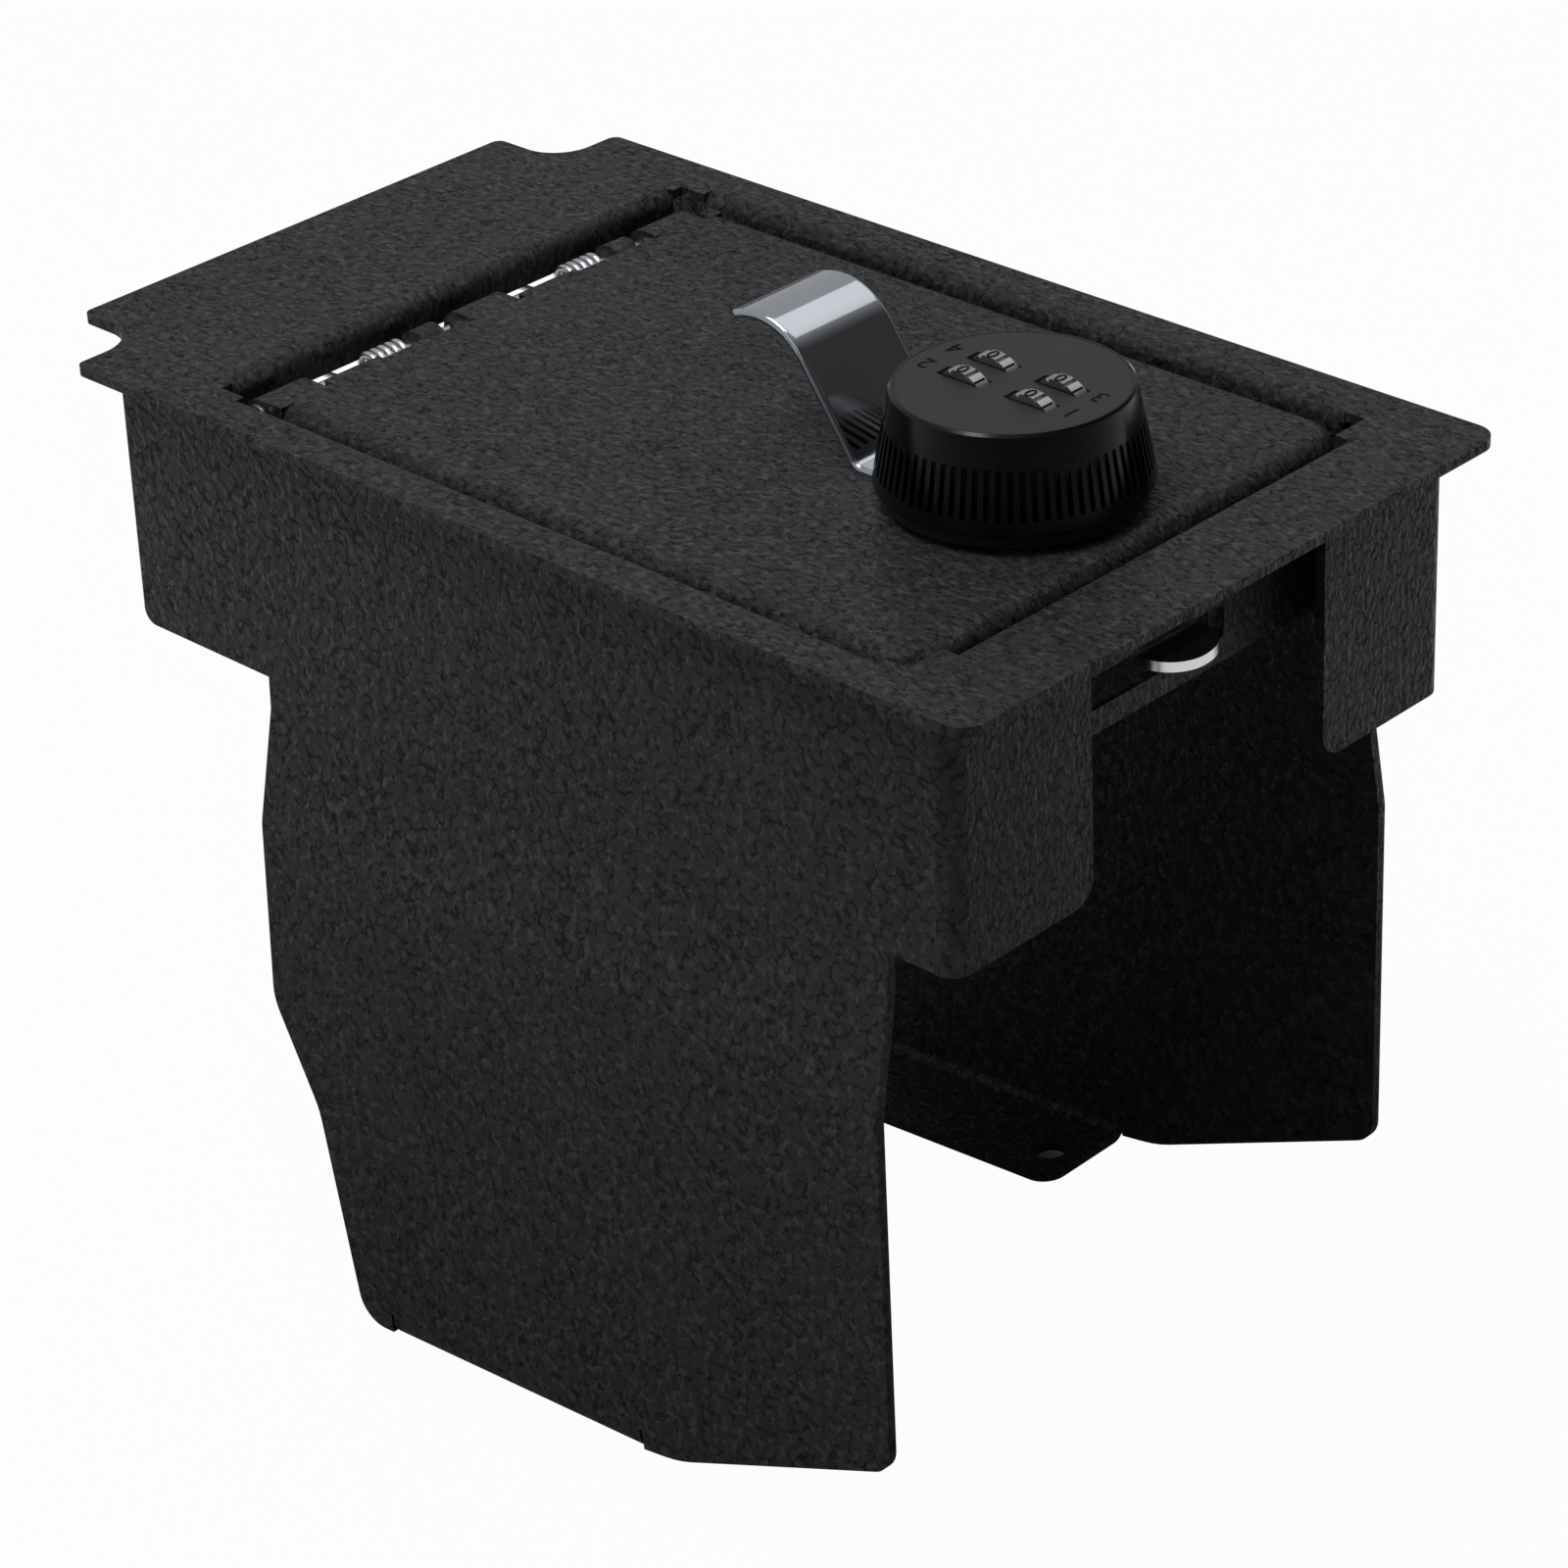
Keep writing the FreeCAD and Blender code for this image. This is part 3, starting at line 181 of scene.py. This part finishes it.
def powderCoat(name):
    board = newFinish(name)
    spot = board.place(coat["stretch"])
    pebble = board.node("ShaderNodeTexVoronoi", {}, {"Vector": spot, "Scale": coat["pebbles"]})
    dome = board.range(pebble, *coat["domeEdge"])
    bubble = board.noise(spot, coat["blisters"], coat["blisterDetail"])
    blisterAndPaintedGlint = board.range(bubble, *coat["blisterEdge"])
    fold = board.noise(spot, coat["creases"], 1.0) - 0.5
    line = board.range(fold * fold, coat["creaseWidth"], 0.0)
    creaseAndPaintedShade = line * board.range(blisterAndPaintedGlint + dome, *coat["creaseRoom"])
    grit = board.noise(spot, coat["grit"], 1.0)
    broad = board.noise(spot, coat["broad"], 1.0)
    tone = coat["tone"]
    # painted highlight on domes and blisters, painted shade in the creases, random tone from grit and broad
    # blotches
    raised = tone["ground"] + dome * tone["dome"] + blisterAndPaintedGlint * tone["blisterAndPaintedGlint"]
    shade = raised + grit * tone["grit"] + broad * tone["broad"] - creaseAndPaintedShade * tone["creaseAndPaintedShade"]
    relief = coat["relief"]
    swell = dome * relief["dome"] + blisterAndPaintedGlint * relief["blisterAndPaintedGlint"]
    height = swell + grit * relief["grit"] - creaseAndPaintedShade * relief["creaseAndPaintedShade"]
    return board.fill({
        "Base Color": board.blend(shade, coat["creaseAndPaintedShade"], coat["lightToneAndPaintedHighlight"]),
        "Roughness": coat["rough"] + creaseAndPaintedShade * coat["creaseRough"] - blisterAndPaintedGlint * coat["blisterShine"],
        "Specular IOR Level": coat["gloss"],
        "Normal": board.bump(height, coat["strength"], coat["depth"]),
    })


# Polished chrome with a faint drawn grain along the strip.
chrome = {
    "dark": (0.5, 0.525, 0.565),
    "light": (0.57, 0.595, 0.635),
    "grain": 2600,
    "grainDetail": 3.0,
    "grainStretch": (1.0, 0.08, 0.08),
    "waves": 40,
    "rough": 0.05,
    "grainRough": 0.06,
    "strength": 0.1,
    "depth": 0.0008,
}


def chromePlate(name):
    board = newFinish(name)
    grain = board.noise(board.place(chrome["grainStretch"]), chrome["grain"], chrome["grainDetail"])
    wave = board.noise(board.place(), chrome["waves"], 1.0)
    return board.fill({
        "Base Color": board.blend(wave, chrome["dark"], chrome["light"]),
        "Metallic": 1.0,
        "Roughness": chrome["rough"] + grain * chrome["grainRough"],
        "Normal": board.bump(wave, chrome["strength"], chrome["depth"]),
    })


# Bright zinc and nickel plate: clouded, with a fine grain.
plate = {
    "clouds": 240,
    "cloudDetail": 3.0,
    "cloudRough": 0.12,
    "grain": 3200,
    "grainDetail": 2.0,
    "grainStretch": (1.0, 0.2, 0.2),
    "strength": 0.15,
    "depth": 0.0001,
    "dialNickel": {"dark": (0.33, 0.32, 0.3), "light": (0.45, 0.44, 0.415), "rough": 0.26},
    "brightZinc": {"dark": (0.55, 0.56, 0.57), "light": (0.72, 0.73, 0.75), "rough": 0.2},
}


def platedSteel(name):
    look = plate[name]
    board = newFinish(name)
    cloud = board.noise(board.place(), plate["clouds"], plate["cloudDetail"])
    grain = board.noise(board.place(plate["grainStretch"]), plate["grain"], plate["grainDetail"])
    return board.fill({
        "Base Color": board.blend(cloud, look["dark"], look["light"]),
        "Metallic": 1.0,
        "Roughness": look["rough"] + cloud * plate["cloudRough"],
        "Normal": board.bump(grain, plate["strength"], plate["depth"]),
    })


# Moulded or painted black, from gloss to satin.
black = {
    "clouds": 120,
    "cloudDetail": 2.0,
    "cloudRough": 0.06,
    "gritDetail": 3.0,
    "gritRough": 0.04,
    "strength": 0.3,
    "glossBlack": {"dark": (0.0012,) * 3, "light": (0.0024,) * 3,
                   "rough": 0.12, "gloss": 0.32, "grit": 900, "depth": 0.00003},
    "satinFace": {"dark": (0.022, 0.0225, 0.0235), "light": (0.028, 0.0285, 0.03),
                  "rough": 0.36, "gloss": 0.2, "grit": 2400, "depth": 0.00005},
    "carrierBlack": {"dark": (0.0012,) * 3, "light": (0.0025,) * 3,
                     "rough": 0.55, "gloss": 0.08, "grit": 1400, "depth": 0.00006},
    "lockBlack": {"dark": (0.005,) * 3, "light": (0.009,) * 3,
                  "rough": 0.35, "gloss": 0.4, "grit": 1200, "depth": 0.00005},
}


def blackFinish(name):
    look = black[name]
    board = newFinish(name)
    cloud = board.noise(board.place(), black["clouds"], black["cloudDetail"])
    grit = board.noise(board.place(), look["grit"], black["gritDetail"])
    return board.fill({
        "Base Color": board.blend(cloud, look["dark"], look["light"]),
        "Roughness": look["rough"] + cloud * black["cloudRough"] + grit * black["gritRough"],
        "Specular IOR Level": look["gloss"],
        "Normal": board.bump(grit, black["strength"], look["depth"]),
    })


finishes = {
    "powder_coat": powderCoat("charcoalPowderCoat"),
    "chrome_strip": chromePlate("polishedChrome"),
    "knob_black": blackFinish("glossBlack"),
    "face_grey": blackFinish("satinFace"),
    "carrier_black": blackFinish("carrierBlack"),
    "dial_nickel": platedSteel("dialNickel"),
    "lock_black": blackFinish("lockBlack"),
    "zinc": platedSteel("brightZinc"),
}
for row in frame["record"]["subparts"]:
    mesh = nodes[row["node"]].data
    mesh.materials.clear()
    mesh.materials.append(finishes[row["material_slot"]])


def addPiece(name, mesh, slot):
    data = bpy.data.meshes.new(name)
    mesh.to_mesh(data)
    mesh.free()
    piece = bpy.data.objects.new(name, data)
    scene.collection.objects.link(piece)
    data.materials.append(finishes[slot])
    return piece


# Torsion springs: a wire ring spun along the pin, its two ends drawn out as legs.
spring = {
    "turns": 5,
    "pitch": 0.00185,
    "coilRadius": 0.0032,
    "wireRadius": 0.00065,
    "rearLeg": 0.016,
    "frontLeg": 0.024,
    "stepsPerTurn": 40,
    "ringSides": 16,
    "lift": 10.7,  # degrees that the wire turns on past its full turns
}
hinge = frame["joints"][0]["pos_m"]


def drawnLeg(mesh, loop, way, length):
    grown = bmesh.ops.extrude_edge_only(mesh, edges=loop)["geom"]
    ends = [item for item in grown if isinstance(item, bmesh.types.BMVert)]
    bmesh.ops.translate(mesh, verts=ends, vec=way * length)
    edges = [item for item in grown if isinstance(item, bmesh.types.BMEdge)]
    rim = [edge for edge in edges if all(vert in ends for vert in edge.verts)]
    bmesh.ops.edgeloop_fill(mesh, edges=rim)


def coilSpring(name, node, startX):
    mesh = bmesh.new()
    foot = Vector((startX, hinge[1], hinge[2] - spring["coilRadius"]))
    rise = spring["pitch"] / (2 * math.pi * spring["coilRadius"])
    startWay = Vector((rise, -1, 0)).normalized()
    turn = startWay.to_track_quat("Z", "X").to_matrix().to_4x4()
    ring = bmesh.ops.create_circle(mesh, segments=spring["ringSides"], radius=spring["wireRadius"],
                                   matrix=Matrix.Translation(foot) @ turn)["verts"]
    startLoop = list({edge for vert in ring for edge in vert.link_edges})
    angle = spring["turns"] * 2 * math.pi + math.radians(spring["lift"])
    steps = round(spring["stepsPerTurn"] * angle / (2 * math.pi))
    advance = spring["pitch"] * angle / (2 * math.pi) / steps
    spun = bmesh.ops.spin(mesh, geom=ring + startLoop, cent=hinge, axis=(-1, 0, 0), dvec=(advance, 0, 0),
                          angle=angle, steps=steps, use_duplicate=False)["geom_last"]
    endLoop = [item for item in spun if isinstance(item, bmesh.types.BMEdge)]
    endWay = Matrix.Rotation(angle, 3, (-1, 0, 0)) @ startWay
    drawnLeg(mesh, startLoop, -startWay, spring["rearLeg"])
    drawnLeg(mesh, endLoop, endWay, spring["frontLeg"])
    bmesh.ops.recalc_face_normals(mesh, faces=mesh.faces)
    for face in mesh.faces:
        face.smooth = len(face.verts) == 4  # the end caps stay flat
    piece = addPiece(name, mesh, "zinc")
    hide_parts(node)
    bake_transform(piece)


for side in ("left", "right"):
    node = side + "_hinge_spring"
    coilSpring(side + "Coil", node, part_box(node)[0].x + spring["wireRadius"])
print("springs wound")


# Numerals: raised on the knob's face beside each dial, and round the rim of each dial.
numerals = {
    "faceSize": 0.0055,
    "faceRise": 0.00005,
    "faceSpots": {"1": (-0.0030, -0.0164), "2": (-0.0036, 0.0172),
                  "3": (0.0048, -0.0162), "4": (0.0043, 0.0173)},
    "rimSize": 0.0040,
    "rimRise": 0.00008,
    "marks": 10,
    "turn": 90,
    "curveSteps": 4,
}
upright = Matrix.Rotation(math.radians(numerals["turn"]), 4, "Z")


def numeralMesh(text, size, rise):
    letter = bpy.data.curves.new("numeral", "FONT")
    letter.body = text
    letter.size = size
    letter.extrude = rise
    letter.align_x = "CENTER"
    letter.align_y = "CENTER"
    letter.resolution_u = numerals["curveSteps"]
    holder = bpy.data.objects.new("numeral", letter)
    scene.collection.objects.link(holder)
    bpy.context.view_layer.update()
    shown = holder.evaluated_get(bpy.context.evaluated_depsgraph_get())
    made = bpy.data.meshes.new_from_object(shown)
    bpy.data.objects.remove(holder)
    return made


def faceNumerals():
    low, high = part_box("knob_face")
    lockY = (low.y + high.y) / 2
    mesh = bmesh.new()
    for text, (x, y) in numerals["faceSpots"].items():
        letter = numeralMesh(text, numerals["faceSize"], numerals["faceRise"])
        letter.transform(Matrix.Translation((x, lockY + y, high.z)) @ upright)
        mesh.from_mesh(letter)
    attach(addPiece("faceNumerals", mesh, "carrier_black"), "knob")


def rimNumerals(index):
    low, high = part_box(f"dial_wheel_{index}")
    centre = Matrix.Translation((low + high) / 2)
    rim = Matrix.Translation((0, 0, (high.z - low.z) / 2))
    mesh = bmesh.new()
    for mark in range(numerals["marks"]):
        letter = numeralMesh(str(mark), numerals["rimSize"], numerals["rimRise"])
        angle = 2 * math.pi * mark / numerals["marks"]
        letter.transform(centre @ Matrix.Rotation(angle, 4, "X") @ rim @ upright)
        mesh.from_mesh(letter)
    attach(addPiece(f"dialNumerals{index}", mesh, "carrier_black"), f"dial_{index}")


faceNumerals()
for index in range(1, 5):
    rimNumerals(index)
print("numerals set")


# Stage: a floor that is nearly white to the camera and to shiny pieces, and plain to all other light, with a
# painted shadow under the box in what shiny pieces see and a painted contact shadow under the right foot's front
# hole.
stage = {
    "floorSize": 6.0,
    "floorDrop": 0.0003,
    "floorShade": 0.3,
    "floorRough": 0.9,
    "whiteShare": 0.97,
    "footprint": (0.075, 0.12, 0),
    # painted shadow under the box in what shiny pieces see, fading out this far beyond the footprint
    "paintedBoxShadow": 0.3,
    "reach": (0.5, 1.5),
    "paintedShadowCentre": (0.063, -0.019, 0),  # painted contact shadow under the right foot's front hole
    "paintedShadowHalf": (0.003, 0.004, 0),
    "paintedContactShadow": 0.003,
}


def paleFloor():
    board = newFinish("paleFloor")
    board.fill({"Base Color": (stage["floorShade"],) * 3 + (1,), "Roughness": stage["floorRough"]})
    plain = Wire(board, board.tree.nodes["Principled BSDF"].outputs[0])
    glow = board.node("ShaderNodeEmission", {}, {"Color": (1, 1, 1, 1), "Strength": 1.0})
    seen = board.node("ShaderNodeLightPath", output="Is Camera Ray")
    shine = board.node("ShaderNodeLightPath", output="Is Glossy Ray")
    clear = board.node("ShaderNodeLightPath", output="Is Transmission Ray")
    spot = board.node("ShaderNodeTexCoord", output="Object")
    # painted contact shadow: the floor loses its white at a fixed patch under the right foot's front hole
    paintedShadowDistance = board.away(spot, stage["paintedShadowCentre"], stage["paintedShadowHalf"])
    paintedContactShadow = board.range(paintedShadowDistance, 0.0, stage["paintedContactShadow"])
    # painted shadow under the box for shiny pieces: no white over the footprint, full white 0.3 m beyond it,
    # fading again far away
    distance = board.away(spot, (0, 0, 0), stage["footprint"])
    paintedBoxShadow = board.range(distance, 0.0, stage["paintedBoxShadow"])
    sweep = paintedBoxShadow - board.range(distance, *stage["reach"])
    share = (seen * paintedContactShadow + (shine + clear) * sweep) * stage["whiteShare"]
    both = board.node("ShaderNodeMixShader", {}, {0: share, 1: plain, 2: glow})
    board.plug(board.tree.nodes["Material Output"].inputs["Surface"], both)
    mesh = bmesh.new()
    bmesh.ops.create_grid(mesh, x_segments=1, y_segments=1, size=stage["floorSize"])
    data = bpy.data.meshes.new("floor")
    mesh.to_mesh(data)
    mesh.free()
    floor = bpy.data.objects.new("floor", data)
    floor.location.z = -stage["floorDrop"]
    scene.collection.objects.link(floor)
    data.materials.append(board.owner)


# World: brighter behind and above the box than in front of it.
studio = {
    "lean": (0, 0.8, 0.6),
    "leanEdge": (-0.1, 0.5),
    "near": {"Color": (0.97, 1, 0.98, 1), "Strength": 0.045},
    "far": {"Color": (0.97, 0.97, 1, 1), "Strength": 0.44},
}


def studioWorld():
    scene.world = bpy.data.worlds.new("studio")
    board = Board(scene.world)
    spot = board.node("ShaderNodeTexCoord", output="Generated")
    lean = board.vector("DOT_PRODUCT", spot, studio["lean"], "Value")
    near = board.node("ShaderNodeBackground", {}, studio["near"])
    far = board.node("ShaderNodeBackground", {}, studio["far"])
    share = board.range(lean, *studio["leanEdge"])
    both = board.node("ShaderNodeMixShader", {}, {0: share, 1: near, 2: far})
    board.plug(board.tree.nodes["World Output"].inputs["Surface"], both)


lamps = {
    "overhead": {"place": (-0.45, 0.2, 1.65), "size": 0.8, "power": 13, "aim": (0, 0, 0.2)},
    "rightBox": {"place": (0.95, 0.05, 1.42), "size": 0.95, "power": 1.8, "aim": (0, 0, 0.2)},
    "leftFill": {"place": (-1.6, -0.2, 0.9), "size": 0.9, "power": 0.8, "aim": (0, 0, 0.1)},
    "frontFill": {"place": (0.3, -1.7, 0.8), "size": 0.8, "power": 1.25, "aim": (0, 0, 0.12)},
}


def softLamps():
    for name, lamp in lamps.items():
        light = bpy.data.lights.new(name, "AREA")
        light.size = lamp["size"]
        light.energy = lamp["power"]
        holder = bpy.data.objects.new(name, light)
        holder.location = lamp["place"]
        way = Vector(lamp["aim"]) - Vector(lamp["place"])
        holder.rotation_euler = way.to_track_quat("-Z", "Y").to_euler()
        scene.collection.objects.link(holder)


# Camera of the photograph: angles in degrees, its place measured from the flange's top.
view = {
    "azimuth": -44.939,
    "elevation": 29.560,
    "roll": -2.738,
    "lens": 114.08,
    "sensor": 36,
    "farClip": 20,
    "place": (-0.59268, -0.60209, 0.39296),
}


def photoCamera():
    turn = math.radians(view["azimuth"])
    tip = math.radians(view["elevation"])
    back = Vector((math.sin(turn) * math.cos(tip), -math.cos(turn) * math.cos(tip), math.sin(tip)))
    right = Vector((0, 0, 1)).cross(back).normalized()
    upward = back.cross(right)
    roll = Matrix.Rotation(math.radians(view["roll"]), 3, "Z")
    pose = Matrix((right, upward, back)).transposed() @ roll
    lens = bpy.data.cameras.new("photoCamera")
    lens.lens = view["lens"]
    lens.sensor_width = view["sensor"]
    lens.clip_end = view["farClip"]
    camera = bpy.data.objects.new("photoCamera", lens)
    place = Vector(view["place"]) + Vector((0, 0, flangeTop))
    camera.matrix_world = Matrix.Translation(place) @ pose.to_4x4()
    scene.collection.objects.link(camera)
    scene.camera = camera


paleFloor()
studioWorld()
softLamps()
photoCamera()
scene.view_settings.view_transform = "Standard"
print("stage lit")
